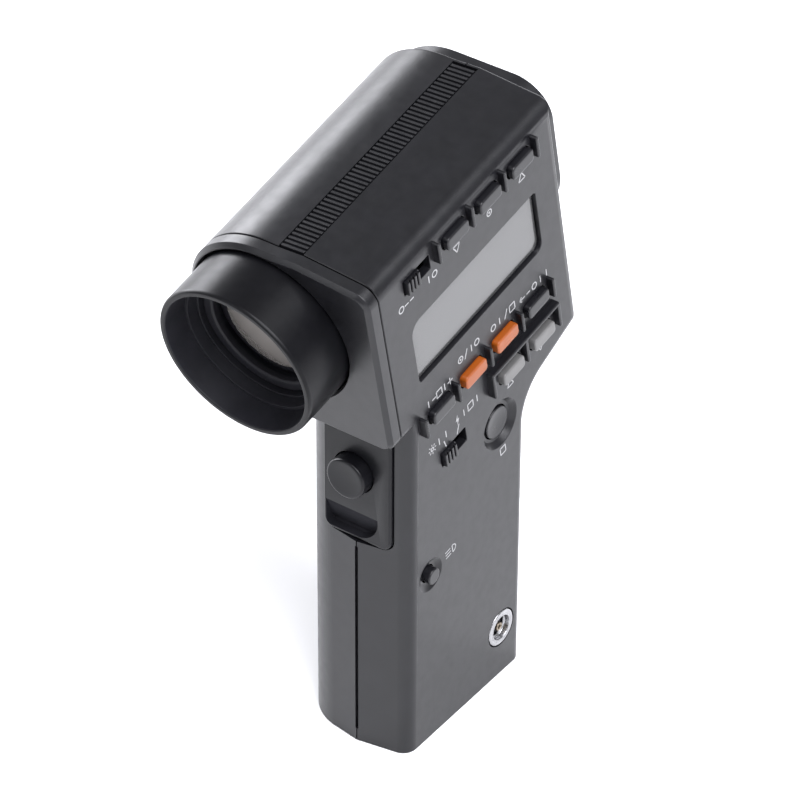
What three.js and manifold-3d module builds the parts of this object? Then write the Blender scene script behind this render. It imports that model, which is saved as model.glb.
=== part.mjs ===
// Handheld one-degree light meter: a two-part moulded body with a round lens hood in front, an eyepiece
// behind, a key panel and display on its right side, and a battery grip below.
// Millimetres. +Z is up along the grip, -Y is the lens side, +X is the key panel side.
// The head leans nose down against the grip, so its pieces are drawn in a head frame whose Y axis is
// the lens axis direction, and are then turned onto the grip.
import * as THREE from "three";
import { mergeVertices } from "three/addons/utils/BufferGeometryUtils.js";
import Module from "manifold-3d";

const wasm = await Module();
wasm.setup();

// ---- Driving dimensions ----------------------------------------------------------------------------
const GAP = 0.3; // clearance between neighbouring pieces
const WALL = 2; // wall of the moulded body
const HEAD_TILT = THREE.MathUtils.degToRad(11.64);
const HEAD_ORIGIN = [0, -20, 100.7]; // where the head frame's origin sits above the grip's base
const PANEL_X = 14.85; // flat right side of head and grip
const GRIP_LEFT_X = -14.85;
const GRIP_REAR_Y = 22.9;
const HEAD_FRONT_Y = -5.96; // joint between bezel and body, in the head frame
const HEAD_REAR_Y = 58;
const LENS_X = -12.63; // lens axis, in the head frame
const LENS_Z = 14.42;
const HEAD_RADIUS = 21.2; // rounded left side of the head, around the lens axis
const BEZEL_FRONT_Y = -9.5;
const BEZEL_CHAMFER = 0.95;
const HOOD_RADIUS = 19.3;
const HOOD_FRONT_Y = -22.54;
const EYEPIECE_REAR_Y = 66.5;
const SEAM_X = 2.35; // joint of the two grip halves
const HEAD_SEAM_X = -6.7; // joint of the two head halves, under the grip strip
const SEAM_STEP_Z = 89;
const KEY_PROUD = 1.5;
const KEY_SIZE = [7.7, 3.4];
const KEYS = {
  shadow_key: [20.2, 28.5],
  average_key: [32.1, 28.5],
  highlight_key: [43.9, 28.5],
  memory_clear_key: [7.6, -12.3],
  aperture_key: [19.4, -12.3],
  time_key: [31.2, -12.3],
  recall_key: [43, -12.3],
  up_key: [31.8, -22.8],
  down_key: [43.5, -22.8],
};
const ORANGE_KEYS = ["aperture_key", "time_key"];
const GREY_KEYS = ["up_key", "down_key"];
const TOP_RIBS_Y = [13.3, 25.4, 37.2, 49.1];
const LOWER_RIBS_Y = [24.3, 36.8, 49.1];
const MIDDLE_RIBS_Y = [0.9, 12.9, 24.8, 36.6, 48.4];
const DISPLAY = { y: [2.67, 48.14], z: [-0.38, 16.23], radius: 2 };
const MEMORY_BUTTON = { y: 26.1, z: -34.9, radius: 3.9, dish: 6.1, face: -0.8 };
const LAMP_BUTTON = { y: -4, z: -54.45, radius: 1.95, dish: 4.1, face: 1.1 };
const SYNC_SOCKET = { y: 16.16, z: -92.52, radius: 4.54 };
const SWITCH_TRAVEL = 3.9;
const SWITCHES = {
  power_switch: [5, 27.8],
  mode_switch: [8, -27],
};
const TRIGGER_PLATE = { x: [-6.75, 10.95], y: -22, z: [56.7, 88.2], corner: 2.5 };
const TRIGGER = { x: 1.35, z: 74.45, radius: 4.9, proud: 3.7 };
const BATTERY = { x: -3, y: 8, radius: 7.1, from: 8.5, length: 50 };
const COVER = { x: [-12, 6], y: [-1.5, 17.5], thick: 2 };
const TRIPOD = { x: -3, y: -12.5, outer: 4.6, inner: 2.6, depth: 8 };

// ---- Materials -------------------------------------------------------------------------------------
function material(colour, roughness, metalness = 0) {
  return new THREE.MeshStandardMaterial({ color: colour, roughness, metalness });
}
const BODY_PLASTIC = material(0x2b2b2f, 0.6);
const DARK_PLASTIC = material(0x1b1b1e, 0.55);
const ORANGE_PLASTIC = material(0xe86a2a, 0.45);
const GREY_PLASTIC = material(0xb9b8b4, 0.5);
const GLASS = material(0x9fb0b8, 0.05);
const DISPLAY_GLASS = material(0xb6b9bb, 0.15);
const STEEL = material(0xc9cacb, 0.3, 1);
const BRASS = material(0xb98a4a, 0.35, 1);
const BOARD = material(0x2f6b43, 0.6);
const RUBBER = material(0x3a3a3d, 0.9);
const BATTERY_SKIN = material(0x5c6066, 0.4);

// ---- Shape helpers ---------------------------------------------------------------------------------
// A three.js geometry as a solid, turned right side out if its profile ran the other way round.
function solid(geometry) {
  const plain = geometry.clone();
  plain.deleteAttribute("normal");
  plain.deleteAttribute("uv");
  const merged = mergeVertices(plain, 1e-4);
  const vertProperties = new Float32Array(merged.attributes.position.array);
  const triVerts = new Uint32Array(merged.index.array);
  const make = () => new wasm.Manifold(new wasm.Mesh({ numProp: 3, vertProperties, triVerts }));
  const first = make();
  if (first.volume() > 0) return first;
  for (let i = 0; i < triVerts.length; i += 3) {
    [triVerts[i + 1], triVerts[i + 2]] = [triVerts[i + 2], triVerts[i + 1]];
  }
  return make();
}

function box(xs, ys, zs) {
  const geometry = new THREE.BoxGeometry(xs[1] - xs[0], ys[1] - ys[0], zs[1] - zs[0]);
  geometry.translate((xs[0] + xs[1]) / 2, (ys[0] + ys[1]) / 2, (zs[0] + zs[1]) / 2);
  return solid(geometry);
}

// Turns a geometry drawn along +Z so that it runs along the named axis.
// Outlines are (y, z) pairs for axis x, (x, z) pairs for axis y and (x, y) pairs for axis z.
function turnTo(axis, geometry, from, to) {
  if (axis === "x") {
    geometry.applyMatrix4(new THREE.Matrix4().set(0, 0, 1, from, 1, 0, 0, 0, 0, 1, 0, 0, 0, 0, 0, 1));
  } else if (axis === "y") {
    geometry.rotateX(Math.PI / 2);
    geometry.translate(0, to, 0);
  } else {
    geometry.translate(0, 0, from);
  }
  return geometry;
}

function prism(points, axis, from, to) {
  const shape = new THREE.Shape(points.map(([u, v]) => new THREE.Vector2(u, v)));
  const geometry = new THREE.ExtrudeGeometry(shape, { depth: to - from, bevelEnabled: false });
  return solid(turnTo(axis, geometry, from, to));
}

// A prism with its outer end chamfered all round: the high end along x or z, the low end along y.
function chamferedPrism(points, axis, low, high, chamfer) {
  const shape = new THREE.Shape(points.map(([u, v]) => new THREE.Vector2(u, v)));
  const geometry = new THREE.ExtrudeGeometry(shape, {
    depth: high - low + 2 - 2 * chamfer,
    bevelThickness: chamfer,
    bevelSize: chamfer,
    bevelOffset: -chamfer,
    bevelSegments: 1,
  });
  geometry.translate(0, 0, chamfer - 2);
  return solid(turnTo(axis, geometry, low, high)).intersect(prism(points, axis, low, high));
}

function disc(axis, centre, radius, from, to, segments = 24, farRadius = radius) {
  const geometry = new THREE.CylinderGeometry(farRadius, radius, to - from, segments);
  const middle = (from + to) / 2;
  if (axis === "x") {
    geometry.rotateZ(-Math.PI / 2);
    geometry.translate(middle, centre[0], centre[1]);
  } else if (axis === "y") {
    geometry.translate(centre[0], middle, centre[1]);
  } else {
    geometry.rotateX(Math.PI / 2);
    geometry.translate(centre[0], centre[1], middle);
  }
  return solid(geometry);
}

function ring(axis, centre, outer, inner, from, to, segments = 24) {
  return disc(axis, centre, outer, from, to, segments).subtract(
    disc(axis, centre, inner, from - 1, to + 1, segments),
  );
}

// A closed profile of [radius, position along the lens axis] turned about the lens axis.
function turned(profile, segments = 40) {
  const points = profile.map(([radius, y]) => new THREE.Vector2(radius, y));
  const geometry = new THREE.LatheGeometry(points, segments);
  geometry.translate(LENS_X, 0, LENS_Z);
  return solid(geometry);
}

// Corner list [u, v, radius] to points, moved inwards by inset. Corners run anticlockwise.
function outline(corners, inset = 0, stepDegrees = 10) {
  const count = corners.length;
  const edges = corners.map(([u, v], i) => {
    const [u1, v1] = corners[(i + 1) % count];
    const length = Math.hypot(u1 - u, v1 - v);
    const direction = [(u1 - u) / length, (v1 - v) / length];
    const start = [u - direction[1] * inset, v + direction[0] * inset];
    return { start, direction };
  });
  const points = [];
  corners.forEach((corner, i) => {
    const before = edges[(i + count - 1) % count];
    const after = edges[i];
    const [du, dv] = before.direction;
    const [eu, ev] = after.direction;
    const turn = du * ev - dv * eu;
    const gapU = after.start[0] - before.start[0];
    const gapV = after.start[1] - before.start[1];
    const along = (gapU * ev - gapV * eu) / turn;
    const meet = [before.start[0] + du * along, before.start[1] + dv * along];
    const radius = corner[2] ? Math.max(corner[2] - Math.sign(turn) * inset, 0.2) : 0;
    const angle = Math.atan2(turn, du * eu + dv * ev);
    const reach = radius * Math.tan(Math.abs(angle) / 2);
    const steps = radius ? Math.max(1, Math.round(Math.abs(THREE.MathUtils.radToDeg(angle)) / stepDegrees)) : 0;
    if (!steps) {
      points.push(meet);
      return;
    }
    const side = Math.sign(angle);
    const centre = [meet[0] - du * reach - dv * radius * side, meet[1] - dv * reach + du * radius * side];
    const first = Math.atan2(-du * side, dv * side);
    for (let k = 0; k <= steps; k += 1) {
      const a = first + (angle * k) / steps;
      points.push([centre[0] + radius * Math.cos(a), centre[1] + radius * Math.sin(a)]);
    }
  });
  return points;
}

function rectangle(us, vs, radius = 0) {
  return outline([
    [us[0], vs[0], radius],
    [us[1], vs[0], radius],
    [us[1], vs[1], radius],
    [us[0], vs[1], radius],
  ], 0, 45);
}

function around(centre, width, height) {
  return [
    [centre[0] - width / 2, centre[0] + width / 2],
    [centre[1] - height / 2, centre[1] + height / 2],
  ];
}

function union(solids) {
  return solids.reduce((whole, next) => whole.add(next));
}

// From the head frame onto the grip.
function onHead(made) {
  const matrix = new THREE.Matrix4().makeRotationX(HEAD_TILT);
  matrix.setPosition(...HEAD_ORIGIN);
  return made.transform(matrix.toArray());
}

// A point [y, z] of the head frame in the part's frame.
function headPoint([y, z]) {
  const cos = Math.cos(HEAD_TILT);
  const sin = Math.sin(HEAD_TILT);
  return [HEAD_ORIGIN[1] + y * cos - z * sin, HEAD_ORIGIN[2] + y * sin + z * cos];
}

// ---- Outlines --------------------------------------------------------------------------------------
const LENS_CENTRE = [LENS_X, LENS_Z];
const HEAD_LEFT_X = LENS_X - HEAD_RADIUS;
const HEAD_TOP_Z = LENS_Z + HEAD_RADIUS;
const HEAD_BOTTOM_Z = -11.3;
const HEAD_CORNERS = [
  [PANEL_X, HEAD_BOTTOM_Z, 3],
  [PANEL_X, 34.6, 4],
  [-3.45, 36.2, 0],
  [-9.9, 35.72, 0],
  [HEAD_LEFT_X, HEAD_TOP_Z, HEAD_RADIUS],
  [HEAD_LEFT_X, 2.17, HEAD_RADIUS],
  [-10.45, HEAD_BOTTOM_Z, 4],
];
const GRIP_CORNERS = [
  [SEAM_X, -23, 0],
  [PANEL_X, -20.75, 3.6],
  [PANEL_X, GRIP_REAR_Y, 3],
  [GRIP_LEFT_X, GRIP_REAR_Y, 3],
  [GRIP_LEFT_X, -20.45, 12],
];
const SHOULDER_PLAN_CORNERS = GRIP_CORNERS.map(([x, y, r]) => (y === GRIP_REAR_Y ? [x, 60, 0] : [x, y, r]));
const SHOULDER_CORNERS = [
  [...headPoint([HEAD_FRONT_Y + GAP, 14]), 0],
  [...headPoint([HEAD_FRONT_Y + GAP, -11]), 0],
  [-22.9, 87, 0],
  [GRIP_REAR_Y, 60, 0],
  [GRIP_REAR_Y, 73.07, 11],
  [42.92, 82.72, 3],
  [...headPoint([HEAD_REAR_Y, 14]), 0],
];
const PLAN_CORNERS = [
  [PANEL_X, -60, 0],
  [PANEL_X, HEAD_REAR_Y, 3.2],
  [HEAD_LEFT_X, HEAD_REAR_Y, 6],
  [HEAD_LEFT_X, -60, 0],
];
const REAR_COVER_CORNERS = [
  [11.25, -4.28, 12],
  [11.25, 33.7, 9],
  [LENS_X - 18.7, 33.12, 18.7],
  [LENS_X - 18.7, -4.28, 18.7],
];

// ---- Body shells -----------------------------------------------------------------------------------
function bodyForm(inset, frontY) {
  const head = prism(outline(HEAD_CORNERS, inset), "y", frontY, HEAD_REAR_Y - inset);
  const shoulder = prism(outline(SHOULDER_CORNERS, inset), "x", GRIP_LEFT_X, PANEL_X).intersect(
    prism(outline(SHOULDER_PLAN_CORNERS, inset), "z", 55, 130),
  );
  const top = inset ? 90 : 88.5;
  const grip = prism(outline(GRIP_CORNERS, inset), "z", inset, top);
  const plan = prism(outline(PLAN_CORNERS, inset), "z", -140, 60);
  return onHead(head).add(shoulder).intersect(onHead(plan)).add(grip);
}

const hollowBody = bodyForm(0, HEAD_FRONT_Y + GAP).subtract(bodyForm(WALL, HEAD_FRONT_Y - 5));

const stripChannel = onHead(
  prism([[-9.95, 40], [-9.95, 34.7], [-3.4, 35.2], [-3.4, 40]], "y", HEAD_FRONT_Y - 1, 57),
);
const stripLedge = onHead(box([-11, -2.5], [HEAD_FRONT_Y + GAP, 57.5], [33.2, 34.4]));
const eyepieceHole = onHead(disc("y", LENS_CENTRE, 13.6, 50, 70, 32));
const plateOutline = rectangle(TRIGGER_PLATE.x, TRIGGER_PLATE.z, TRIGGER_PLATE.corner);
const plateCut = prism(outline([
  [TRIGGER_PLATE.x[0] - GAP, TRIGGER_PLATE.z[0] - GAP, 2.8],
  [TRIGGER_PLATE.x[1] + GAP, TRIGGER_PLATE.z[0] - GAP, 2.8],
  [TRIGGER_PLATE.x[1] + GAP, 88.6, 0],
  [TRIGGER_PLATE.x[0] - GAP, 88.6, 0],
], 0, 45), "y", -30, -18);
const coverCut = box(
  [COVER.x[0] - GAP, COVER.x[1] + GAP],
  [COVER.y[0] - GAP, COVER.y[1] + GAP],
  [-1, WALL + 1],
);
const bushCut = disc("z", [TRIPOD.x, TRIPOD.y], TRIPOD.outer + GAP, -1, WALL + 1);
const seamGroove = box([SEAM_X - 0.35, SEAM_X + 0.35], [-24, -22.1], [3.5, 55]);
const commonCuts = union([stripChannel, eyepieceHole, plateCut, coverCut, bushCut, seamGroove]);
const shell = hollowBody.add(stripLedge.intersect(bodyForm(0.5, HEAD_FRONT_Y + GAP))).subtract(commonCuts);

const rightRegion = box([HEAD_SEAM_X + GAP / 2, 40], [-60, 80], [SEAM_STEP_Z, 180]).add(
  box([SEAM_X + GAP / 2, 40], [-60, 80], [-10, SEAM_STEP_Z]),
);
const leftRegion = box([-60, HEAD_SEAM_X - GAP / 2], [-60, 80], [SEAM_STEP_Z - GAP, 180]).add(
  box([-60, SEAM_X - GAP / 2], [-60, 80], [-10, SEAM_STEP_Z - GAP]),
);

// ---- Panel openings and raised ribs ------------------------------------------------------------------
const panelCuts = [];
const panelRibs = [];
for (const place of Object.values(KEYS)) {
  const [ys, zs] = around(place, KEY_SIZE[0] + 0.6, KEY_SIZE[1] + 0.6);
  panelCuts.push(prism(rectangle(ys, zs, 1.2), "x", 10, 20));
}
for (const place of Object.values(SWITCHES)) {
  const ys = [place[0] - 2.4, place[0] + 2.4 + SWITCH_TRAVEL + 0.3];
  panelCuts.push(box([10, 20], [ys[0] - 0.3, ys[1]], [place[1] - 2, place[1] + 2]));
}
panelCuts.push(prism(rectangle(DISPLAY.y, DISPLAY.z, DISPLAY.radius), "x", 10, 20));
for (const button of [MEMORY_BUTTON, LAMP_BUTTON]) {
  const centre = [button.y, button.z];
  panelCuts.push(disc("x", centre, button.radius + GAP, 10, 20));
}
panelCuts.push(
  disc("x", [MEMORY_BUTTON.y, MEMORY_BUTTON.z], MEMORY_BUTTON.radius + 0.6, 13.55, 14.95, 24, MEMORY_BUTTON.dish),
);
panelCuts.push(
  disc("x", [LAMP_BUTTON.y, LAMP_BUTTON.z], LAMP_BUTTON.radius + 0.6, 14.05, 14.95, 24, LAMP_BUTTON.dish),
);
panelCuts.push(disc("x", [SYNC_SOCKET.y, SYNC_SOCKET.z], SYNC_SOCKET.radius + GAP, 10, 20));

const RIB_PROUD = 1.8;
function rib(y, z0, z1, width = 0.9) {
  return prism(rectangle([y - width / 2, y + width / 2], [z0, z1], 0.4), "x", PANEL_X - 1, PANEL_X + RIB_PROUD);
}
TOP_RIBS_Y.forEach((y) => panelRibs.push(rib(y, 26.4, 32.1)));
MIDDLE_RIBS_Y.forEach((y) => panelRibs.push(rib(y, -14.8, -9.4)));
LOWER_RIBS_Y.forEach((y) => panelRibs.push(rib(y, -24.4, -17.5)));
panelRibs.push(
  prism(rectangle([23.9, 49.5], [-18.1, -17.2], 0.4), "x", PANEL_X - 1, PANEL_X + RIB_PROUD),
);

const rightShell = shell
  .intersect(rightRegion)
  .add(onHead(union(panelRibs)))
  .subtract(onHead(union(panelCuts)));
const leftShell = shell.intersect(leftRegion);

// ---- Grip strip: fine cross ribs over the joint of the two halves ------------------------------------
const STRIP_RIBS = 50;
const STRIP_START_Y = HEAD_FRONT_Y + 2 * GAP;
const STRIP_PITCH = (56.7 - STRIP_START_Y) / STRIP_RIBS;
const stripBase = prism([[-9.65, 34.85], [-3.7, 35.3], [-3.7, 35.75], [-9.65, 35.3]], "y", STRIP_START_Y, 56.7);
const stripRibs = Array.from({ length: STRIP_RIBS }, (_, i) => {
  const y = STRIP_START_Y + i * STRIP_PITCH;
  const points = [[-9.65, 35.2], [-3.7, 35.65], [-3.7, 36.25], [-9.65, 35.8]];
  return prism(points, "y", y, y + STRIP_PITCH * 0.6);
});
const gripStrip = union([stripBase, ...stripRibs]);

// ---- Front bezel, hood and optics ----------------------------------------------------------------------
const bezelBlock = chamferedPrism(
  outline(HEAD_CORNERS),
  "y",
  BEZEL_FRONT_Y,
  HEAD_FRONT_Y,
  BEZEL_CHAMFER,
);
const hoodBore = disc("y", LENS_CENTRE, HOOD_RADIUS + 0.35, -12, -5, 48);
const frontBezel = bezelBlock.subtract(hoodBore);

const lensHood = turned([
  [17.8, HOOD_FRONT_Y],
  [18.9, HOOD_FRONT_Y],
  [HOOD_RADIUS, HOOD_FRONT_Y + 0.4],
  [HOOD_RADIUS, HEAD_FRONT_Y - 0.4],
  [18.4, HEAD_FRONT_Y],
  [18.4, 1],
  [14.4, 1],
  [14.4, -10.2],
  [15.9, -10.2],
  [15.9, -13.4],
  [16.3, -13.4],
  [16.6, -16.2],
  [17.3, -16.2],
  [17.8, HOOD_FRONT_Y],
], 48);
const retainingRing = turned([
  [13.2, -12.2],
  [15.6, -12.2],
  [15.6, -10.5],
  [13.2, -10.5],
  [13.2, -12.2],
]);
const frontLens = turned([
  [0, -11.8],
  [5, -11.4],
  [10, -10.1],
  [12.9, -8.9],
  [14.1, -8.2],
  [14.1, -4.4],
  [0, -4.4],
]);
const baffleTube = turned([
  [12.6, 1.3],
  [14.1, 1.3],
  [14.1, 3],
  [11, 20],
  [11, 24.6],
  [9.8, 24.6],
  [9.8, 20],
  [12.6, 3],
  [12.6, 1.3],
], 24);
const rearLens = turned([
  [0, 20.4],
  [9.4, 21.2],
  [9.4, 23.6],
  [0, 24.4],
], 24);

// ---- Finder: prism, mask, display, light cell and eyepiece -------------------------------------------
const splitter = box([LENS_X - 8, LENS_X + 8], [26, 42], [LENS_Z - 8, LENS_Z + 8]);
const fieldMask = ring("y", LENS_CENTRE, 9, 5, 43.2, 44, 24);
const finderDisplay = box([LENS_X - 6, LENS_X + 6], [27, 41], [LENS_Z - 11, LENS_Z - 8.6]);
const lightCell = disc("z", [LENS_X, 34], 4.5, LENS_Z + 8.6, LENS_Z + 12, 20);
const eyepieceTube = turned([
  [9.6, 45],
  [11, 45],
  [11, 63],
  [9.6, 63],
  [9.6, 45],
], 32);
const eyepieceLens = turned([
  [0, 54],
  [9.3, 55.2],
  [9.3, 58],
  [0, 59.4],
], 24);
const diopterProfile = [
  [11.3, 58.6],
  [13, 58.6],
  [13, 65.6],
  [12.2, EYEPIECE_REAR_Y],
  [10, EYEPIECE_REAR_Y],
  [8.6, 64.6],
  [8.6, 63.4],
  [11.3, 63.4],
  [11.3, 58.6],
];
const DIOPTER_GRIPS = 20;
const gripNotches = Array.from({ length: DIOPTER_GRIPS }, (_, i) => {
  const angle = (i * 2 * Math.PI) / DIOPTER_GRIPS;
  const centre = [LENS_X + 13.3 * Math.cos(angle), LENS_Z + 13.3 * Math.sin(angle)];
  return disc("y", centre, 0.7, 62.4, 70, 6);
});
const diopterRing = turned(diopterProfile, 40).subtract(union(gripNotches));
const rearCover = prism(outline(REAR_COVER_CORNERS), "y", HEAD_REAR_Y + GAP, 62).subtract(
    disc("y", LENS_CENTRE, 13.4, 50, 70, 40),
  );
const chassisHoles = [
  disc("y", LENS_CENTRE, 11.5, 22.4, 25.2, 24),
  disc("y", LENS_CENTRE, 11.3, 45, 49.5, 24),
];
const chassis = union([
    box([-22, 2.5], [20, 52], [-0.6, 1]),
    box([-22, 2.5], [23, 25], [0.5, 28]),
    box([-22, 2.5], [46, 48.5], [0.5, 28]),
  ]).subtract(union(chassisHoles));

// ---- Display and key panel ----------------------------------------------------------------------------
const displayWindow = prism(
    rectangle(
      [DISPLAY.y[0] + GAP, DISPLAY.y[1] - GAP],
      [DISPLAY.z[0] + GAP, DISPLAY.z[1] - GAP],
      DISPLAY.radius - GAP,
    ),
    "x",
    12.9,
    13.9,
  );
const displayModule = box([9.9, 12.4], [1.2, 49.6], [-1.9, 17.8]);
const displayFrame = box([8.6, 12.4], [-1, 51.8], [-4.1, 20]).subtract(
    union([box([9.6, 13], [0.9, 49.9], [-2.2, 18.1]), box([8, 10], [4, 46], [1, 15])]),
  );
const mainBoard = box([6.4, 8], [3, 53.5], [-24.8, 32]).subtract(
  box([5, 9], [36, 60], [-30, -24]),
);
const upperKeyMat = box([8.4, 9.6], [14, 49], [26, 32.2]);
const lowerKeyMat = box([8.4, 9.6], [2, 48], [-24.6, -7.6]);

function key() {
  const [ys, zs] = around([0, 0], KEY_SIZE[0], KEY_SIZE[1]);
  const cap = chamferedPrism(rectangle(ys, zs, 1), "x", 11.5, PANEL_X + KEY_PROUD, 0.7);
  const [flangeYs, flangeZs] = around([0, 0], KEY_SIZE[0] + 1.8, KEY_SIZE[1] + 0.6);
  return cap.add(box([11.3, 12.3], flangeYs, flangeZs));
}

function roundButton(button, flange) {
  const stem = disc("x", [0, 0], button.radius, 10.6, PANEL_X + button.face, 24);
  return stem.add(disc("x", [0, 0], flange, 10.6, 11.8, 24));
}

function slideSwitch() {
  const grooves = [-1.5, -0.5, 0.5, 1.5].map((y) =>
    box([PANEL_X + 0.5, PANEL_X + 2], [y - 0.2, y + 0.2], [-3, 3]),
  );
  const knob = box([12, PANEL_X + 1.1], [-2.3, 2.3], [-1.75, 1.75]);
  const plate = box([11, 12.4], [-3.6, 3.6], [-2.9, 2.9]);
  return knob.add(plate).subtract(union(grooves));
}

// ---- Grip: trigger, battery, sockets ------------------------------------------------------------------
const triggerBore = disc("y", [TRIGGER.x, TRIGGER.z], TRIGGER.radius + 0.4, -30, -10, 32);
const fingerScoop = box([TRIGGER_PLATE.x[0] + 0.8, 6.1], [-30, -20.6], [57.7, 64]);
const triggerPlate = prism(plateOutline, "y", TRIGGER_PLATE.y, -19.6).subtract(triggerBore.add(fingerScoop));
const triggerCentre = [TRIGGER.x, TRIGGER.z];
const triggerFace = TRIGGER_PLATE.y - TRIGGER.proud;
const trigger = disc("y", triggerCentre, TRIGGER.radius, triggerFace + 0.5, -16.5, 32)
  .add(disc("y", triggerCentre, TRIGGER.radius - 0.5, triggerFace, triggerFace + 0.5, 32, TRIGGER.radius))
  .add(disc("y", triggerCentre, 6.3, -19.3, -18, 32));

// A wire coil drawn along the z axis.
class Coil extends THREE.Curve {
  constructor(radius, low, high, turns) {
    super();
    Object.assign(this, { radius, low, high, turns });
  }
  getPoint(t, target = new THREE.Vector3()) {
    const angle = 2 * Math.PI * this.turns * t;
    const z = this.low + (this.high - this.low) * t;
    return target.set(this.radius * Math.cos(angle), this.radius * Math.sin(angle), z);
  }
}

function coil(radius, low, high, turns, wire) {
  const steps = turns * 12;
  const shape = new THREE.Shape(
    Array.from({ length: 6 }, (_, i) => {
      const a = (i * Math.PI) / 3;
      return new THREE.Vector2(wire * Math.cos(a), wire * Math.sin(a));
    }),
  );
  return new THREE.ExtrudeGeometry(shape, { steps, extrudePath: new Coil(radius, low, high, turns) });
}

const TRIGGER_SPRING_REACH = 5.2;
const triggerSpring = coil(3.2, 0, TRIGGER_SPRING_REACH, 4, 0.3);
triggerSpring.rotateX(-Math.PI / 2);
triggerSpring.translate(TRIGGER.x, -15.9, TRIGGER.z);
const triggerSwitch = union([
  box([-4, 5.8], [-10.2, -6.2], [70, 80.2]),
  disc("y", triggerCentre, 1.2, -14.4, -10, 12),
]);

const battery = disc("z", [0, 0], BATTERY.radius, BATTERY.from, BATTERY.from + 48.6, 24).add(
  disc("z", [0, 0], 2.7, BATTERY.from + 48, BATTERY.from + BATTERY.length, 16),
);
const batterySpring = coil(4.5, 3.2, BATTERY.from - 0.9, 3, 0.4);
const batteryContact = box([-7, 1], [4, 12], [59.2, 60]);

const coverHinge = { y: COVER.y[1] - COVER.thick / 2, z: COVER.thick / 2 };
const batteryCover = box(COVER.x, [COVER.y[0], coverHinge.y], [0, COVER.thick]).add(
  disc("x", [coverHinge.y, coverHinge.z], COVER.thick / 2, COVER.x[0], COVER.x[1], 16),
);
const tripodBush = ring("z", [0, 0], TRIPOD.outer, TRIPOD.inner, 0.05, TRIPOD.depth, 32);

const socketCentre = [SYNC_SOCKET.y, SYNC_SOCKET.z];
const socketShell = ring("x", socketCentre, SYNC_SOCKET.radius, 2.6, 10.5, PANEL_X + 0.15, 32).add(
    ring("x", socketCentre, 5.6, 2.6, 10.5, 12.4, 32),
  );
const socketInsulator = ring("x", socketCentre, 2.3, 1.35, 9.2, 13.2, 24);
const socketPin = ring("x", socketCentre, 1.05, 0.5, 9.2, PANEL_X - 0.4, 16);
const gripBoard = box([7.4, 8.6], [-15, 18], [4, 68]);

// ---- Screws ------------------------------------------------------------------------------------------
const SCREWS = {
  grip_screw_lower: [-6, 17],
  grip_screw_upper: [-6, 50],
  grip_screw_rear: [14, 66],
};
const screw = disc("x", [0, 0], 2.2, -14.6, -13.7, 20)
  .add(disc("x", [0, 0], 1.1, -13.8, -4, 12))
  .subtract(box([-15, -14.2], [-2.5, 2.5], [-0.3, 0.3]));
const screwBores = union(Object.values(SCREWS).flatMap(([y, z]) => [
  disc("x", [y, z], 2.5, -16, -13.4, 20),
  disc("x", [y, z], 1.4, -16, -10, 12),
]));

// ---- Assembly ----------------------------------------------------------------------------------------
const meter = new THREE.Group();
meter.name = "light_meter";
const head = new THREE.Group();
head.name = "head";
head.position.set(...HEAD_ORIGIN);
head.rotation.x = HEAD_TILT;
meter.add(head);

function place(group, name, made, look) {
  let geometry = made;
  if (!made.isBufferGeometry) {
    const mesh = made.getMesh();
    geometry = new THREE.BufferGeometry();
    geometry.setAttribute("position", new THREE.BufferAttribute(Float32Array.from(mesh.vertProperties), 3));
    geometry.setIndex(new THREE.BufferAttribute(Uint32Array.from(mesh.triVerts), 1));
  }
  geometry.computeVertexNormals();
  const piece = new THREE.Mesh(geometry, look.clone());
  piece.name = name;
  group.add(piece);
  return piece;
}

// Keys, buttons and switch knobs are drawn about their own centres on the panel's inner side.
function placeOnPanel(name, made, look, [y, z]) {
  place(head, name, made, look).position.set(0, y, z);
}

function keyLook(name) {
  if (ORANGE_KEYS.includes(name)) return ORANGE_PLASTIC;
  if (GREY_KEYS.includes(name)) return GREY_PLASTIC;
  return DARK_PLASTIC;
}

place(meter, "right_shell", rightShell, BODY_PLASTIC);
place(meter, "left_shell", leftShell.subtract(screwBores), BODY_PLASTIC);
place(head, "grip_strip", gripStrip, BODY_PLASTIC);
place(head, "front_bezel", frontBezel, BODY_PLASTIC);
place(head, "lens_hood", lensHood, DARK_PLASTIC);
place(head, "retaining_ring", retainingRing, DARK_PLASTIC);
place(head, "front_lens", frontLens, GLASS);
place(head, "rear_lens", rearLens, GLASS);
place(head, "baffle_tube", baffleTube, DARK_PLASTIC);
place(head, "optics_chassis", chassis, DARK_PLASTIC);
place(head, "beam_splitter", splitter, GLASS);
place(head, "field_mask", fieldMask, STEEL);
place(head, "finder_display", finderDisplay, DISPLAY_GLASS);
place(head, "light_cell", lightCell, STEEL);
place(head, "eyepiece_tube", eyepieceTube, DARK_PLASTIC);
place(head, "eyepiece_lens", eyepieceLens, GLASS);
place(head, "diopter_ring", diopterRing, DARK_PLASTIC);
place(head, "rear_cover", rearCover, BODY_PLASTIC);
place(head, "display_window", displayWindow, GLASS);
place(head, "display_module", displayModule, DISPLAY_GLASS);
place(head, "display_frame", displayFrame, DARK_PLASTIC);
place(head, "main_board", mainBoard, BOARD);
place(head, "upper_key_mat", upperKeyMat, RUBBER);
place(head, "lower_key_mat", lowerKeyMat, RUBBER);
for (const [name, centre] of Object.entries(KEYS)) placeOnPanel(name, key(), keyLook(name), centre);
placeOnPanel("memory_button", roundButton(MEMORY_BUTTON, 5), DARK_PLASTIC, [MEMORY_BUTTON.y, MEMORY_BUTTON.z]);
placeOnPanel("lamp_button", roundButton(LAMP_BUTTON, 3.4), DARK_PLASTIC, [LAMP_BUTTON.y, LAMP_BUTTON.z]);
for (const [name, centre] of Object.entries(SWITCHES)) placeOnPanel(name, slideSwitch(), DARK_PLASTIC, centre);
place(meter, "trigger_plate", triggerPlate, BODY_PLASTIC);
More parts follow.
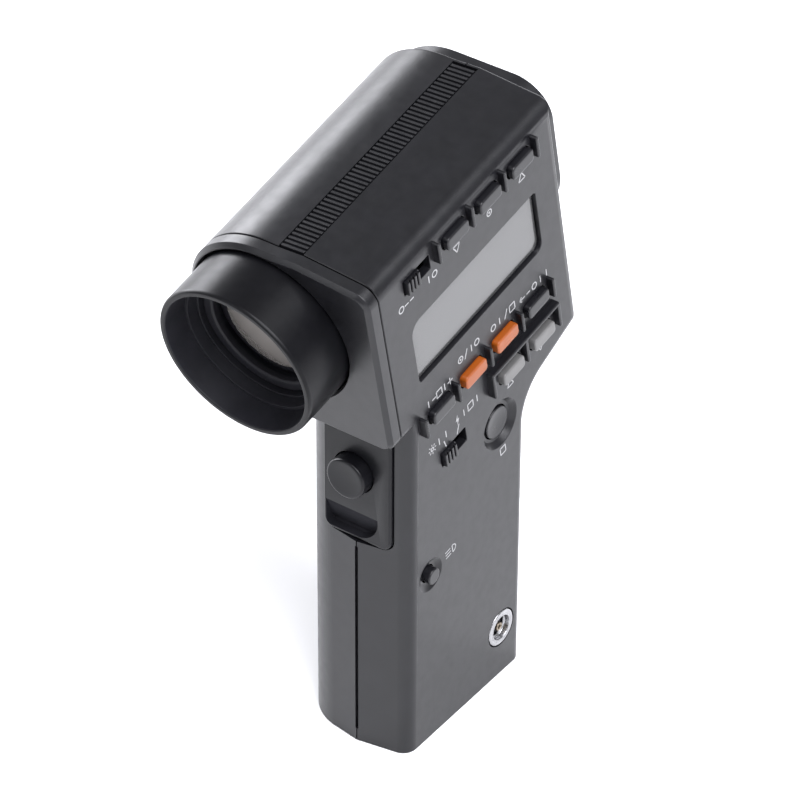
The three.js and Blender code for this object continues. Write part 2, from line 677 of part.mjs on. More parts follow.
place(meter, "measuring_button", trigger, DARK_PLASTIC);
place(meter, "measuring_spring", triggerSpring, STEEL);
place(meter, "measuring_switch", triggerSwitch, DARK_PLASTIC);
place(meter, "grip_board", gripBoard, BOARD);
place(meter, "battery", battery, BATTERY_SKIN).position.set(BATTERY.x, BATTERY.y, 0);
place(meter, "battery_spring", batterySpring, STEEL).position.set(BATTERY.x, BATTERY.y, 0);
place(meter, "battery_contact", batteryContact, STEEL);
place(meter, "battery_cover", batteryCover, BODY_PLASTIC);
place(meter, "tripod_bush", tripodBush, BRASS).position.set(TRIPOD.x, TRIPOD.y, 0);
place(head, "sync_socket", socketShell, STEEL);
place(head, "sync_insulator", socketInsulator, DARK_PLASTIC);
place(head, "sync_pin", socketPin, BRASS);
for (const [name, [y, z]] of Object.entries(SCREWS)) place(meter, name, screw, STEEL).position.set(0, y, z);

export default meter;
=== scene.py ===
"""Looks of a handheld one-degree light meter: moulded body in two halves, lens hood, finder,
key panel with a display, trigger plate and battery grip.

Shapes are drawn in millimetres. The row frame has +Z up the grip, -Y on the lens side and +X on the key
panel side. The head leans nose down, so its pieces are drawn in a head frame whose Y axis is the lens axis.
"""
import math

import bmesh
import bpy
from mathutils import Matrix, Vector


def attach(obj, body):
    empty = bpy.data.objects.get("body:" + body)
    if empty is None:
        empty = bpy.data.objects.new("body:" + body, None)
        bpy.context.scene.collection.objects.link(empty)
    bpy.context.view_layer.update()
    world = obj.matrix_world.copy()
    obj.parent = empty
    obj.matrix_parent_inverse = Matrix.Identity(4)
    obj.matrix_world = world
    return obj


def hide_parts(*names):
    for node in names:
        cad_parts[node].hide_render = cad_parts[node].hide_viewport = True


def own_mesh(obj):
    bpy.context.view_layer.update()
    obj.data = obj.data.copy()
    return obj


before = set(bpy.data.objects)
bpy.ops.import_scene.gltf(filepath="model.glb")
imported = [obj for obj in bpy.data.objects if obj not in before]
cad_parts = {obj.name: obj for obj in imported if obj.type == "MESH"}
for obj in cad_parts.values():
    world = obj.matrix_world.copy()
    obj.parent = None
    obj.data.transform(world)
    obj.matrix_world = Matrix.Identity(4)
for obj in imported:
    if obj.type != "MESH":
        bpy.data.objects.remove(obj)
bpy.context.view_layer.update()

# ---- Frames ----
MM = 0.001
HEAD_TILT = math.radians(11.64)
HEAD = Matrix.Translation((0, -20, 100.7)) @ Matrix.Rotation(HEAD_TILT, 4, "X")
ROW = Matrix.Identity(4)


def node_box(node, space=HEAD):
    """Lowest and highest corner of a CAD node, in millimetres of the head frame or the row frame."""
    inverse = space.inverted()
    points = [inverse @ (v.co / MM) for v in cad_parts[node].data.vertices]
    lowest = Vector([min(p[i] for p in points) for i in range(3)])
    highest = Vector([max(p[i] for p in points) for i in range(3)])
    return lowest, highest


def node_centre(node, space=HEAD):
    lowest, highest = node_box(node, space)
    return (lowest + highest) / 2


def side_place(node, space=HEAD):
    """A node's middle as seen from the panel side: (y, z)."""
    centre = node_centre(node, space)
    return centre.y, centre.z


# ---- Driving dimensions ----
GAP = 0.3
WALL = 2.0
PANEL_X = 14.85
GRIP_LEFT_X = -14.85
GRIP_REAR_Y = 22.9
HEAD_REAR_Y = 58.0
SEAM_X = 2.35
HEAD_SEAM_X = -6.7
SEAM_STEP_Z = 89.0
BEZEL_FRONT_Y, HEAD_FRONT_Y = [corner.y for corner in node_box("front_bezel")]
LENS_X, LENS_Z = node_centre("lens_hood").xz
HOOD_RADIUS = 19.3
HOOD_FRONT_Y = node_box("lens_hood")[0].y
HEAD_RADIUS = 21.2
SWITCH_TRAVEL = 3.9
RIB_PROUD = 1.8
RIB_WIDTH = 0.9
FACE_FORWARD = 0.45  # the trigger plate's face stands this far before the CAD's, level with the grip
PLATE_BORE = 5.25
EYEPIECE_BORE = 13.6
SOCKET_RADIUS = 4.54
INK = 0.04
PRINT_FROM = 0.005  # the printed marks start this far over the panel
LIP = 0.14  # soft edge of the openings
REAR_EDGE = 0.8  # round edge at the head's rear end
FINE_STEP = 4.0  # degrees between the points of a rounded corner

LENS_PLACE = (LENS_X, LENS_Z)
HEAD_LEFT_X = LENS_X - HEAD_RADIUS
HEAD_TOP_Z = LENS_Z + HEAD_RADIUS
STRIP_LEFT = (-9.9, 35.72)  # edges of the grip strip's channel on the head's top
STRIP_RIGHT = (-3.45, 36.2)
HEAD_CORNERS = [
    (PANEL_X, -11.3, 3),
    (PANEL_X, 34.6, 4),
    (*STRIP_RIGHT, 0),
    (*STRIP_LEFT, 0),
    (HEAD_LEFT_X, HEAD_TOP_Z, HEAD_RADIUS),
    (HEAD_LEFT_X, 2.17, HEAD_RADIUS),
    (-10.45, -11.3, 4),
]
GRIP_CORNERS = [
    (SEAM_X, -23, 0),
    (PANEL_X, -20.75, 3.6),
    (PANEL_X, GRIP_REAR_Y, 3),
    (GRIP_LEFT_X, GRIP_REAR_Y, 3),
    (GRIP_LEFT_X, -20.45, 12),
]
SHOULDER_PLAN_CORNERS = [(x, 60, 0) if y == GRIP_REAR_Y else (x, y, r) for x, y, r in GRIP_CORNERS]
PLAN_CORNERS = [
    (PANEL_X, -60, 0),
    (PANEL_X, HEAD_REAR_Y, 3.2),
    (HEAD_LEFT_X, HEAD_REAR_Y, 6),
    (HEAD_LEFT_X, -60, 0),
]
REAR_COVER_RADIUS = 18.7
REAR_COVER_CORNERS = [
    (11.25, -4.28, 12),
    (11.25, 33.7, 9),
    (LENS_X - REAR_COVER_RADIUS, 33.12, REAR_COVER_RADIUS),
    (LENS_X - REAR_COVER_RADIUS, -4.28, REAR_COVER_RADIUS),
]
BLACK_KEYS = ["shadow_key", "average_key", "highlight_key", "memory_clear_key", "recall_key"]
ORANGE_KEYS = ["aperture_key", "time_key"]
GREY_KEYS = ["up_key", "down_key"]
KEYS = BLACK_KEYS + ORANGE_KEYS + GREY_KEYS
SWITCHES = ["power_switch", "mode_switch"]
GRIP_SCREWS = ["grip_screw_lower", "grip_screw_upper", "grip_screw_rear"]
BUTTON_RADIUS = {"memory_button": 3.9, "lamp_button": 1.95}
# Each row of bars: their places along the panel and their span up it.
RIB_ROWS = [
    ([13.3, 25.4, 37.2, 49.1], (26.4, 32.1)),
    ([0.9, 12.9, 24.8, 36.6, 48.4], (-14.8, -9.4)),
    ([24.3, 36.8, 49.1], (-24.4, -17.5)),
]
LONG_BAR = ((23.9, 49.5), (-18.1, -17.2))  # over the two arrow keys


def head_point(y, z):
    """A point of the head frame's (y, z) plane in the row frame's (y, z) plane."""
    place = HEAD @ Vector((0, y, z))
    return place.y, place.z


# ---- Mesh helpers ----
def outline(corners, inset=0.0):
    """Corner list (u, v, radius), anticlockwise, as points moved inwards by inset."""
    count = len(corners)
    edges = []
    for i, (u, v, _) in enumerate(corners):
        along = (Vector(corners[(i + 1) % count][:2]) - Vector((u, v))).normalized()
        edges.append((Vector((u - along.y * inset, v + along.x * inset)), along))
    points = []
    for i, (_, _, round_off) in enumerate(corners):
        before, after = edges[i - 1], edges[i]
        a, b = before[1], after[1]
        turn = a.x * b.y - a.y * b.x
        gap = after[0] - before[0]
        meet = before[0] + a * ((gap.x * b.y - gap.y * b.x) / turn)
        if not round_off:
            points.append(tuple(meet))
            continue
        radius = max(round_off - math.copysign(inset, turn), 0.2)
        angle = math.atan2(turn, a.dot(b))
        side = math.copysign(1, angle)
        reach = radius * math.tan(abs(angle) / 2)
        centre = meet - a * reach + Vector((-a.y, a.x)) * radius * side
        first = math.atan2(-a.x * side, a.y * side)
        steps = max(2, round(abs(math.degrees(angle)) / FINE_STEP))
        for k in range(steps + 1):
            turned = first + angle * k / steps
            points.append((centre.x + radius * math.cos(turned), centre.y + radius * math.sin(turned)))
    return points


def quarter_round(edge, steps):
    """Pairs (inset, distance back from the face) along a round edge, from the side to the face."""
    turns = [math.pi / 2 * k / steps for k in range(steps + 1)]
    return [(edge * (1 - math.cos(t)), edge * (1 - math.sin(t))) for t in turns]


def rectangle(us, vs, radius=0.0):
    return [(us[0], vs[0], radius), (us[1], vs[0], radius), (us[1], vs[1], radius), (us[0], vs[1], radius)]


def circle(centre, radius, count=64):
    turns = [2 * math.pi * k / count for k in range(count)]
    return [(centre[0] + radius * math.cos(t), centre[1] + radius * math.sin(t)) for t in turns]


def on_axis(axis, u, v, level):
    """Outline point (u, v) at a level along the axis: (y, z) for x, (x, z) for y, (x, y) for z."""
    return {"x": (level, u, v), "y": (u, level, v), "z": (u, v, level)}[axis]


def mesh_object(name, bm):
    bmesh.ops.recalc_face_normals(bm, faces=bm.faces)
    mesh = bpy.data.meshes.new(name)
    bm.to_mesh(mesh)
    bm.free()
    made = bpy.data.objects.new(name, mesh)
    bpy.context.scene.collection.objects.link(made)
    return made


def wall(bm, low, high):
    """Faces between two rings of vertices."""
    for i in range(len(low)):
        j = (i + 1) % len(low)
        bm.faces.new((low[i], low[j], high[j], high[i]))


def stack(name, axis, sections):
    """A closed solid through sections (points, level), each with the same count of points."""
    bm = bmesh.new()
    rings = [[bm.verts.new(on_axis(axis, u, v, level)) for u, v in points] for points, level in sections]
    for low, high in zip(rings, rings[1:]):
        wall(bm, low, high)
    bm.faces.new(rings[0])
    bm.faces.new(rings[-1])
    return mesh_object(name, bm)


def shaped(name, axis, corners, steps):
    """A solid of one outline through steps (inset, level) along the axis."""
    return stack(name, axis, [(outline(corners, inset), level) for inset, level in steps])


def prism(name, points, axis, low, high):
    return stack(name, axis, [(points, low), (points, high)])


def box(name, xs, ys, zs):
    return prism(name, [(xs[0], ys[0]), (xs[1], ys[0]), (xs[1], ys[1]), (xs[0], ys[1])], "z", zs[0], zs[1])


def round_solid(name, axis, centre, steps, count=64):
    """A round solid through steps (radius, level) along the axis."""
    return stack(name, axis, [(circle(centre, radius, count), level) for radius, level in steps])


def cylinder(name, axis, centre, radius, low, high, count=64):
    return round_solid(name, axis, centre, [(radius, low), (radius, high)], count)


def cushion(name, corners, axis, root, face, edge, steps, dome=0.0):
    """A block of the outline whose face end has a round edge, and a slight dome if asked."""
    sign = math.copysign(1, face - root)
    levels = [(0, root), *[(inset, face - sign * back) for inset, back in quarter_round(edge, steps)]]
    if dome:
        levels.append((2 * edge, face + sign * dome))
    return shaped(name, axis, corners, levels)


def lathe(name, profile, count=128, axis="y", centre=LENS_PLACE, ripple=None):
    """A closed profile (radius, level) turned about an axis through centre.
    ripple is (number of notches, depth) for the profile points that have a third value."""
    bm = bmesh.new()
    columns = []
    for point in profile:
        radius, level = point[:2]
        if radius < 1e-6:
            columns.append([bm.verts.new(on_axis(axis, centre[0], centre[1], level))] * count)
            continue
        column = []
        for k in range(count):
            turn = 2 * math.pi * k / count
            reach = radius
            if ripple and len(point) > 2:
                reach -= ripple[1] * max(0.0, math.cos(turn * ripple[0])) ** 2
            u = centre[0] + reach * math.cos(turn)
            v = centre[1] + reach * math.sin(turn)
            column.append(bm.verts.new(on_axis(axis, u, v, level)))
        columns.append(column)
    for i, column in enumerate(columns):
        following = columns[(i + 1) % len(columns)]
        for k in range(count):
            j = (k + 1) % count
            corners = dict.fromkeys((column[k], column[j], following[j], following[k]))
            if len(corners) > 2:
                bm.faces.new(list(corners))
    return mesh_object(name, bm)


def rounded(profile, radius):
    """A closed profile with every corner whose third value is set rounded by that share of radius."""
    points = []
    count = len(profile)
    steps = 4
    for i, point in enumerate(profile):
        here = Vector(point[:2])
        share = point[2] if len(point) > 2 else 0
        if not share:
            points.append(tuple(here))
            continue
        before = (Vector(profile[i - 1][:2]) - here).normalized()
        after = (Vector(profile[(i + 1) % count][:2]) - here).normalized()
        reach = radius * share
        for k in range(steps + 1):
            t = k / steps
            bend = here + before * reach * (1 - t) ** 2 + after * reach * t**2
            points.append(tuple(bend))
    return points


def move(made, space):
    made.data.transform(space)
    return made


def discard(*tools):
    for tool in tools:
        mesh = tool.data
        bpy.data.objects.remove(tool)
        bpy.data.meshes.remove(mesh)


def bake(made):
    """Applies the modifiers of an object."""
    graph = bpy.context.evaluated_depsgraph_get()
    fresh = bpy.data.meshes.new_from_object(made.evaluated_get(graph))
    made.modifiers.clear()
    old = made.data
    made.data = fresh
    bpy.data.meshes.remove(old)
    return made


def boolean(made, operation, *tools):
    for tool in tools:
        modifier = made.modifiers.new(operation, "BOOLEAN")
        modifier.operation = operation
        modifier.solver = "MANIFOLD"
        modifier.object = tool
    bake(made)
    discard(*tools)
    return made


def cut(made, *tools):
    return boolean(made, "DIFFERENCE", *tools)


def join(made, *tools):
    return boolean(made, "UNION", *tools)


def common(made, *tools):
    return boolean(made, "INTERSECT", *tools)


def gather(name, parts):
    """Several closed solids as one mesh."""
    bm = bmesh.new()
    for part in parts:
        bm.from_mesh(part.data)
    discard(*parts)
    return mesh_object(name, bm)


BEVEL_ANGLE = math.radians(32)
NORMAL_WEIGHT = 80


def lens_reach(point):
    """Distance of a point of the head frame from the lens axis."""
    return math.hypot(point.x - LENS_X, point.z - LENS_Z)


def second_look(made, look, wanted, space=HEAD):
    """A second look on the faces of a finished piece whose middle, in its frame, is wanted."""
    made.data.materials.append(look)
    back = space.inverted()
    for polygon in made.data.polygons:
        if wanted(back @ (polygon.center / MM)):
            polygon.material_index = 1


def finish_piece(made, look, nodes=(), body="meter_body", space=HEAD, bevel=0.0, sharp=35):
    """Place, metres, soft edges, shading, material and body of a piece drawn in a frame."""
    move(made, space)
    made.data.transform(Matrix.Scale(MM, 4))
    made.data.materials.clear()
    made.data.materials.append(look)
    if bevel:
        modifier = made.modifiers.new("soft edges", "BEVEL")
        modifier.width = bevel * MM
        modifier.segments = 2
        modifier.limit_method = "ANGLE"
        modifier.angle_limit = BEVEL_ANGLE
        modifier.use_clamp_overlap = False
        modifier.miter_outer = "MITER_ARC"
        bake(made)
    for polygon in made.data.polygons:
        polygon.use_smooth = True
    made.data.set_sharp_from_angle(angle=math.radians(sharp))
    weighted = made.modifiers.new("weighted normals", "WEIGHTED_NORMAL")
    weighted.keep_sharp = True
    weighted.weight = NORMAL_WEIGHT
    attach(made, body)
    if nodes:
        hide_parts(*nodes)


# ---- Materials ----
GRAIN_SIZE = 0.00035  # metres


def new_material(name):
    made = bpy.data.materials.new(name)
    made.use_nodes = True
    tree = made.node_tree
    tree.nodes.clear()
    output = tree.nodes.new("ShaderNodeOutputMaterial")
    shader = tree.nodes.new("ShaderNodeBsdfPrincipled")
    tree.links.new(shader.outputs["BSDF"], output.inputs["Surface"])
    place = tree.nodes.new("ShaderNodeTexCoord")
    return made, tree, shader, place.outputs["Object"]


def feed(tree, node, inputs):
    """Sets or links the named inputs of a node."""
    for socket, value in inputs.items():
        if isinstance(value, bpy.types.NodeSocket):
            tree.links.new(value, node.inputs[socket])
        else:
            node.inputs[socket].default_value = value
    return node


def add_node(tree, kind, inputs):
    return feed(tree, tree.nodes.new(kind), inputs)


def noise(tree, place, scale, detail=2.0):
    inputs = {"Vector": place, "Scale": scale, "Detail": detail}
    return add_node(tree, "ShaderNodeTexNoise", inputs).outputs["Fac"]


def spread(tree, value, low, high):
    """A value from 0.3 to 0.7, as noise gives it, taken to the range low to high."""
    inputs = {"Value": value, "From Min": 0.3, "From Max": 0.7, "To Min": low, "To Max": high}
    return add_node(tree, "ShaderNodeMapRange", inputs).outputs["Result"]


def tint(tree, value, first, second):
    """A noise value taken to the range between two colours."""
    made = add_node(tree, "ShaderNodeValToRGB", {"Fac": value})
    for element, position, colour in zip(made.color_ramp.elements, (0.35, 0.65), (first, second)):
        element.position = position
        element.color = (*colour, 1)
    return made.outputs["Color"]


def bump(tree, shader, height, strength, distance):
    inputs = {"Height": height, "Strength": strength, "Distance": distance}
    feed(tree, shader, {"Normal": add_node(tree, "ShaderNodeBump", inputs).outputs["Normal"]})


def moulded(name, colour, roughness, grain=0.25, vary=0.12, ior=1.5):
    """Moulded plastic: spark-eroded grain, small changes of tone and of gloss."""
    made, tree, shader, place = new_material(name)
    darker = [c * (1 - vary) for c in colour]
    lighter = [c * (1 + vary) for c in colour]
    tone = tint(tree, noise(tree, place, 160, 3), darker, lighter)
    gloss = spread(tree, noise(tree, place, 420, 4), roughness - 0.035, roughness + 0.035)
    feed(tree, shader, {"Base Color": tone, "Roughness": gloss, "IOR": ior})
    bump(tree, shader, noise(tree, place, 1 / GRAIN_SIZE, 3), grain, 0.00003)
    return made


def metal(name, colour, roughness):
    """Turned or drawn metal with fine brushing and a little tarnish."""
    made, tree, shader, place = new_material(name)
    stretch = add_node(tree, "ShaderNodeMapping", {"Vector": place, "Scale": (1, 9, 1)})
    streaks = noise(tree, stretch.outputs["Vector"], 900, 3)
    tarnish = tint(tree, noise(tree, place, 300), [c * 0.82 for c in colour], colour)
    gloss = spread(tree, streaks, roughness - 0.06, roughness + 0.08)
    feed(tree, shader, {"Base Color": tarnish, "Roughness": gloss, "Metallic": 1.0})
    bump(tree, shader, streaks, 0.12, 0.00001)
    return made


def glass(name, colour, ior, roughness=0.02):
    """Coated optical glass with a faint, uneven tint from its coating. A light base colour on it is a
    painted reflection.
    """
    made, tree, shader, place = new_material(name)
    glass_tone = tint(tree, noise(tree, place, 60), [c * 0.85 for c in colour], colour)
    gloss = spread(tree, noise(tree, place, 500), roughness, roughness + 0.02)
    feed(tree, shader, {"Base Color": glass_tone, "Roughness": gloss, "IOR": ior})
    feed(tree, shader, {"Coat Weight": 1.0, "Coat Roughness": 0.02})
    return made


def board(name):
    """Circuit board: green resist over traces."""
    made, tree, shader, place = new_material(name)
    cells = add_node(tree, "ShaderNodeTexVoronoi", {"Vector": place, "Scale": 420})
    cells.distance = "MANHATTAN"
    distance = cells.outputs["Distance"]
    resist = tint(tree, distance, (0.012, 0.09, 0.03), (0.03, 0.17, 0.06))
    gloss = spread(tree, noise(tree, place, 700), 0.3, 0.45)
    feed(tree, shader, {"Base Color": resist, "Roughness": gloss})
    bump(tree, shader, distance, 0.3, 0.0001)
    return made


DISPLAY_MARGIN = 0.004  # metres that the display's frame line and edge tones take up
# Grey of the display from its edge inwards: place as a share of the margin, and tone. The dark tones at the
# edge and the slow rise inwards are painted shade of the recess; the dip near 0.34 is the frame line.
DISPLAY_TONES_WITH_EDGE_SHADE = [(0.0, 0.03), (0.16, 0.045), (0.30, 0.045), (0.34, 0.032), (0.38, 0.052), (0.9, 0.056)]


def display_face(name, lowest, highest):
    """Liquid crystal glass in a light grey, with a fine darker frame line inside its edge and painted shade
    that darkens it towards the edge.
    lowest and highest are (y, z) in millimetres of the head frame."""
    made, tree, shader, place = new_material(name)
    to_head = tree.nodes.new("ShaderNodeMapping")
    to_head.vector_type = "TEXTURE"
    feed(tree, to_head, {"Vector": place, "Location": HEAD.translation * MM, "Rotation": (HEAD_TILT, 0, 0)})
    apart = add_node(tree, "ShaderNodeSeparateXYZ", {"Vector": to_head.outputs["Vector"]})

    def math_node(operation, *values):
        node = tree.nodes.new("ShaderNodeMath")
        node.operation = operation
        return feed(tree, node, dict(enumerate(values))).outputs["Value"]

    margins = []
    for axis, low, high in zip("YZ", lowest, highest):
        middle, half = (low + high) / 2 * MM, (high - low) / 2 * MM
        offset = math_node("ABSOLUTE", math_node("SUBTRACT", apart.outputs[axis], middle))
        margins.append(math_node("SUBTRACT", half, offset))
    depth = math_node("DIVIDE", math_node("MINIMUM", *margins), DISPLAY_MARGIN)
    ramp = add_node(tree, "ShaderNodeValToRGB", {"Fac": depth})
    elements = ramp.color_ramp.elements
    while len(elements) < len(DISPLAY_TONES_WITH_EDGE_SHADE):
        elements.new(0.5)
    for element, (position, grey) in zip(elements, DISPLAY_TONES_WITH_EDGE_SHADE):
        element.position = position
        element.color = (grey, grey, grey * 1.01, 1)
    mottle = tree.nodes.new("ShaderNodeMix")
    mottle.data_type = "RGBA"
    mottle.blend_type = "MULTIPLY"
    mottle.inputs["Factor"].default_value = 1.0
    tree.links.new(ramp.outputs["Color"], mottle.inputs["A"])
    tree.links.new(tint(tree, noise(tree, place, 90), (0.96, 0.96, 0.96), (1, 1, 1)), mottle.inputs["B"])
    gloss = spread(tree, noise(tree, place, 300), 0.16, 0.22)
    feed(tree, shader, {"Base Color": mottle.outputs["Result"], "Roughness": gloss})
    feed(tree, shader, {"Coat Weight": 0.5, "Coat Roughness": 0.05})
    return made


BODY_BLACK = (0.0062, 0.0062, 0.0078)
body_look = moulded("body_plastic_look", BODY_BLACK, 0.34, grain=0.3, ior=1.42)
hood_look = moulded("hood_plastic_look", (0.0035, 0.0035, 0.0045), 0.33, grain=0.15, ior=1.24)
baffle_look = moulded("baffle_plastic_look", (0.012, 0.012, 0.0155), 0.5, grain=0.2, ior=1.3)
plate_look = moulded("plate_plastic_look", (0.005, 0.005, 0.0064), 0.33, grain=0.2, ior=1.3)
# Painted shade: this dull look with little reflection goes on the finger scoop's faces in place of the
# shade inside the scoop.
scoop_shade_look = moulded("scoop_painted_shade_look", (0.015, 0.015, 0.018), 0.6, grain=0.2, ior=1.1)
key_look = moulded("key_plastic_look", BODY_BLACK, 0.3, grain=0.18, ior=1.42)
orange_look = moulded("orange_plastic_look", (0.27, 0.058, 0.003), 0.4, grain=0.15, vary=0.06, ior=1.5)
grey_look = moulded("grey_plastic_look", (0.122, 0.12, 0.118), 0.42, grain=0.15, vary=0.06, ior=1.5)
rubber_look = moulded("rubber_look", (0.03, 0.03, 0.032), 0.75, grain=0.4, ior=1.45)
steel_look = metal("steel_look", (0.40, 0.40, 0.41), 0.25)
brass_look = metal("brass_look", (0.24, 0.2, 0.15), 0.3)
board_look = board("board_look")
# Painted reflection: the front lens's light brownish base colour stands in for the bright surroundings
# mirrored in the lens.
lens_reflection_look = glass("front_lens_painted_reflection_look", (0.22, 0.205, 0.192), 1.5, roughness=0.12)
inner_glass_look = glass("inner_glass_look", (0.02, 0.024, 0.03), 1.6)
battery_look = moulded("battery_skin_look", (0.12, 0.13, 0.15), 0.35, grain=0.1, ior=1.5)
ink_look = moulded("print_look", (0.32, 0.32, 0.325), 0.5, grain=0.1, vary=0.04)

# ---- Camera, light and floor ----
CAMERA_PLACE = Vector((0.47942, -0.66954, 0.70260))
CAMERA_AXES = Matrix((
    (0.8100, -0.3559, 0.4661),
    (0.5865, 0.4874, -0.6469),
    (0.0032, 0.7973, 0.6034),
))


def add_camera():
    data = bpy.data.cameras.new("camera")
    data.lens = 216.42
    data.sensor_width = 36
    data.clip_start = 0.05
    data.clip_end = 50
    camera = bpy.data.objects.new("camera", data)
    camera.matrix_world = Matrix.Translation(CAMERA_PLACE) @ CAMERA_AXES.to_4x4()
    bpy.context.scene.collection.objects.link(camera)
    bpy.context.scene.camera = camera


def add_light(name, place, size, power):
    data = bpy.data.lights.new(name, "AREA")
    data.shape = "DISK"
    data.size = size
    data.energy = power
    data.color = (0.945, 0.95, 1.0)
    light = bpy.data.objects.new(name, data)
    light.location = place
    aim = Vector((0, 0, 0.06)) - Vector(place)
    light.rotation_euler = aim.to_track_quat("-Z", "Y").to_euler()
    bpy.context.scene.collection.objects.link(light)


def add_floor():
    bm = bmesh.new()
    bmesh.ops.create_grid(bm, x_segments=8, y_segments=8, size=6)
    floor = mesh_object("floor", bm)
    look, tree, shader, place = new_material("floor_look")
    tone = tint(tree, noise(tree, place, 3), (0.93, 0.93, 0.935), (0.95, 0.95, 0.95))
    feed(tree, shader, {"Base Color": tone, "Roughness": 0.9, "Specular IOR Level": 0.1})
    floor.data.materials.append(look)


def add_world(strength):
    world = bpy.data.worlds.new("studio")
    world.use_nodes = True
    background = world.node_tree.nodes["Background"]
    background.inputs["Color"].default_value = (0.98, 0.99, 1.0, 1)
    background.inputs["Strength"].default_value = strength
    bpy.context.scene.world = world


add_camera()
add_floor()
add_world(0.455)
add_light("key_light", (1.6, -0.5, 2.4), 2.6, 168)
add_light("left_light", (-2.3, 0.6, 0.9), 1.6, 85)
add_light("back_light", (-0.4, 2.5, 0.35), 1.6, 22)
add_light("front_fill", (-0.9, -2.4, 1.9), 1.6, 18)
bpy.context.scene.view_settings.view_transform = "Standard"


# ---- Body shells ----
def soft_back(shoulder_corners):
    """A block that rounds the shoulder's rear edges where they meet the flat sides."""
    rear = shoulder_corners[3:]
    corners = [(-60, 40, 0), (GRIP_REAR_Y, 40, 0), *rear[1:], (-60, 200, 0)]
    middle = (GRIP_LEFT_X + PANEL_X) / 2
    reach = (PANEL_X - GRIP_LEFT_X) / 2
    edge = quarter_round(3.0, 4)
    steps = [(inset, middle - reach + back) for inset, back in reversed(edge)]
    steps += [(inset, middle + reach - back) for inset, back in edge]
    return shaped("soft_back", "x", corners, steps)


def body_form(inset, front_y):
    """The outer form of head, shoulder and grip, shrunk by inset."""
    shoulder_corners = [
        (*head_point(HEAD_FRONT_Y + GAP, 14), 0),
        (*head_point(HEAD_FRONT_Y + GAP, -11), 0),
        (-22.9, 87, 0),
        (GRIP_REAR_Y, 60, 0),
        (GRIP_REAR_Y, 73.07, 11),
        (42.92, 82.72, 3),
        (*head_point(HEAD_REAR_Y, 14), 0),
    ]
    rear_y = HEAD_REAR_Y - inset
    form = shaped("form", "y", HEAD_CORNERS, [
        (inset + (0 if inset else 0.15), front_y),
        (inset, front_y + 0.15),
        *[(inset + more, rear_y - back) for more, back in quarter_round(REAR_EDGE, 6)],
    ])
    move(form, HEAD)
    shoulder = prism("shoulder", outline(shoulder_corners, inset), "x", GRIP_LEFT_X - 1, PANEL_X + 1)
    plan = prism("plan", outline(SHOULDER_PLAN_CORNERS, inset), "z", 55, 130)
    common(shoulder, plan)
    if not inset:
        common(shoulder, soft_back(shoulder_corners))
    join(form, shoulder)
    rear = prism("rear", outline(PLAN_CORNERS, inset), "z", -140, 60)
    common(form, move(rear, HEAD))
    top = 90 if inset else 88.5
    soft = 0 if inset else 0.3
    grip = shaped("grip", "z", GRIP_CORNERS, [
        (inset + soft, inset),
        (inset + soft * 0.3, inset + soft * 0.3),
        (inset, inset + soft + 0.01),
        (inset, top),
    ])
    return join(form, grip)


def body_shell():
    """Both halves of the moulded body in one hollow solid, with the cuts that they share."""
    shell = body_form(0, HEAD_FRONT_Y + GAP)
    cut(shell, body_form(WALL, HEAD_FRONT_Y - 5))
    channel = prism(
        "channel", [(-9.95, 40), (-9.95, 34.7), (-3.4, 35.2), (-3.4, 40)], "y", HEAD_FRONT_Y - 1, 57
    )
    cut(shell, move(channel, HEAD))
    eyepiece = cylinder("eyepiece", "y", LENS_PLACE, EYEPIECE_BORE, 50, 70)
    cut(shell, move(eyepiece, HEAD))
    low, high = node_box("trigger_plate", ROW)
    plate_corners = [
        (low.x - GAP, low.z - GAP, 2.8),
        (high.x + GAP, low.z - GAP, 2.8),
        (high.x + GAP, high.z + 0.4, 0),
        (low.x - GAP, high.z + 0.4, 0),
    ]
    cut(shell, prism("plate_cut", outline(plate_corners), "y", -30, -18))
    low, high = node_box("battery_cover", ROW)
    cover = outline(rectangle((low.x - GAP, high.x + GAP), (low.y - GAP, high.y + GAP), 0.6))
    cut(shell, prism("cover_cut", cover, "z", -1, WALL + 1))
    bush = node_centre("tripod_bush", ROW)
    cut(shell, cylinder("bush_cut", "z", (bush.x, bush.y), 4.6 + GAP, -1, WALL + 1))
    groove = prism("groove", outline(rectangle((SEAM_X - 0.4, SEAM_X + 0.4), (-24, -22.0))), "z", 3.5, 55)
    return cut(shell, groove)


def half(name, shell, side):
    """The part of the shell on one side of the joint."""
    made = bpy.data.objects.new(name, shell.data.copy())
    bpy.context.scene.collection.objects.link(made)
    seam_head = HEAD_SEAM_X + side * GAP / 2
    seam_grip = SEAM_X + side * GAP / 2
    far = side * 80
    upper_from = SEAM_STEP_Z if side > 0 else SEAM_STEP_Z - GAP
    upper = box("upper", sorted((seam_head, far)), (-60, 80), (upper_from, 180))
    lower = box("lower", sorted((seam_grip, far)), (-60, 80), (-10, upper_from))
    return common(made, join(upper, lower))


def raised_bar(ys, zs):
    """A raised bar on the panel with a round outline and a soft edge."""
    corner = min(ys[1] - ys[0], zs[1] - zs[0]) * 0.45
    return cushion("bar", rectangle(ys, zs, corner), "x", PANEL_X - 0.8, PANEL_X + RIB_PROUD, 0.28, 3)


def panel_ribs():
    """The bars between the keys, and the long one over the two arrow keys."""
    reach = RIB_WIDTH / 2
    bars = [raised_bar((y - reach, y + reach), span) for places, span in RIB_ROWS for y in places]
    return [*bars, raised_bar(*LONG_BAR)]


def panel_cutter(corners):
    """An opening through the panel whose lip flares out a little."""
    return shaped("cutter", "x", corners, [
        (0, 10),
        (0, PANEL_X - LIP),
        (-LIP * 0.3, PANEL_X - LIP * 0.4),
        (-LIP, PANEL_X + 0.002),
        (-LIP, PANEL_X + 6),
    ])


def key_cap_box(node):
    """Sides of a key's cap: the flange stands out 0.9 in front and behind, and 0.3 above and below."""
    low, high = node_box(node)
    return (low.y + 0.9, high.y - 0.9), (low.z + 0.3, high.z - 0.3)


